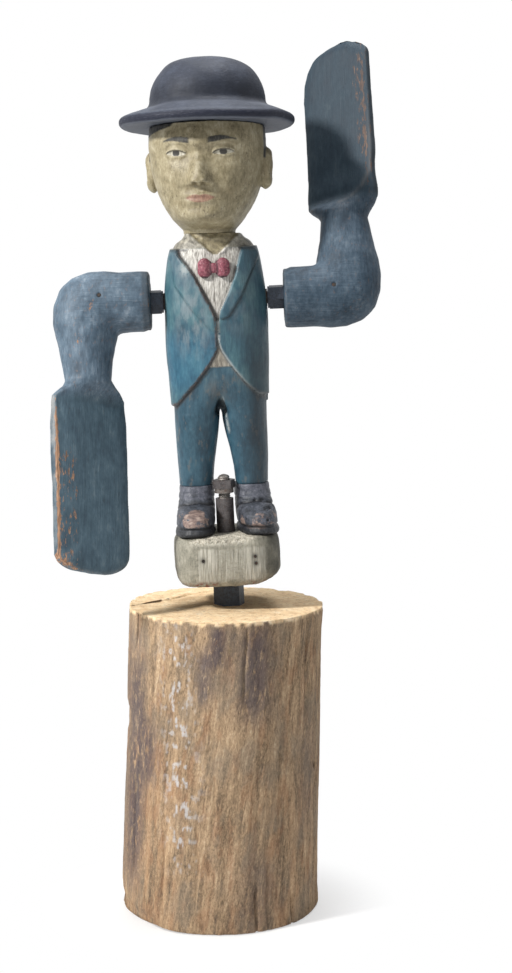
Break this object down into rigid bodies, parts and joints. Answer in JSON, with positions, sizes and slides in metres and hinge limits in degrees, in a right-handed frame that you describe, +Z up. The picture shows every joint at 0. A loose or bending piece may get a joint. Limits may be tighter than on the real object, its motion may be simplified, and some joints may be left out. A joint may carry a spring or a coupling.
{
  "type": "whirligig",
  "caption": "Carved and painted wooden whirligig: a man in a bowler hat and tailcoat turns on an iron rod in a sawn log, and the wind spins his two paddle arms.",
  "frame": {"origin": "middle of the log's sawn foot, on the surface that it stands on", "axes": "+Z up, the figure faces -Y, the arms' axle runs nearly along X"},
  "size_m": [0.2105, 0.1496, 0.5662],
  "materials": {
    "log_wood": "bare weathered wood, sawn ends",
    "block_paint": "worn pale grey-green paint",
    "shoe_paint": "worn dark grey paint",
    "coat_paint": "worn satin blue paint",
    "tie_paint": "worn dusty red paint",
    "skin_paint": "aged ochre cream paint",
    "dowel_wood": "bare wood",
    "hat_paint": "satin charcoal blue paint",
    "arm_paint": "weathered grey-blue paint",
    "black_iron": "blackened",
    "grey_iron": "dull",
    "worn_iron": "worn, rust stained",
    "nail_iron": "rusted"
  },
  "bodies": {
    "stand": {"log_stand": "log_wood", "pivot_rod": "worn_iron", "rod_collar": "black_iron", "thrust_washer": "black_iron", "retaining_washer": "worn_iron", "retaining_nut": "worn_iron"},
    "figure": {"base_block": "block_paint", "pivot_sleeve": "grey_iron", "block_nails": "nail_iron", "left_shoe": "shoe_paint", "right_shoe": "shoe_paint", "foot_screws": "nail_iron", "coat_and_legs": "coat_paint", "bow_tie": "tie_paint", "head": "skin_paint", "hat_dowel": "dowel_wood", "bowler_hat": "hat_paint", "shoulder_tube": "grey_iron"},
    "arms": {"arm_axle": "black_iron", "left_arm_washer": "black_iron", "right_arm_washer": "black_iron", "left_arm_nut": "black_iron", "right_arm_nut": "black_iron", "left_arm": "arm_paint", "right_arm": "arm_paint", "left_arm_nail": "nail_iron", "right_arm_nail": "nail_iron"}
  },
  "joints": [
    {"name": "figure_turn", "type": "hinge", "parent": "stand", "child": "figure", "pos_m": [0.007, 0, 0.2], "axis": [-0.0436, 0, 0.999], "continuous": true},
    {"name": "arm_spin", "type": "hinge", "parent": "figure", "child": "arms", "pos_m": [-0.00156, 0.0095, 0.39613], "axis": [0.999, 0, 0.0436], "continuous": true}
  ]
}
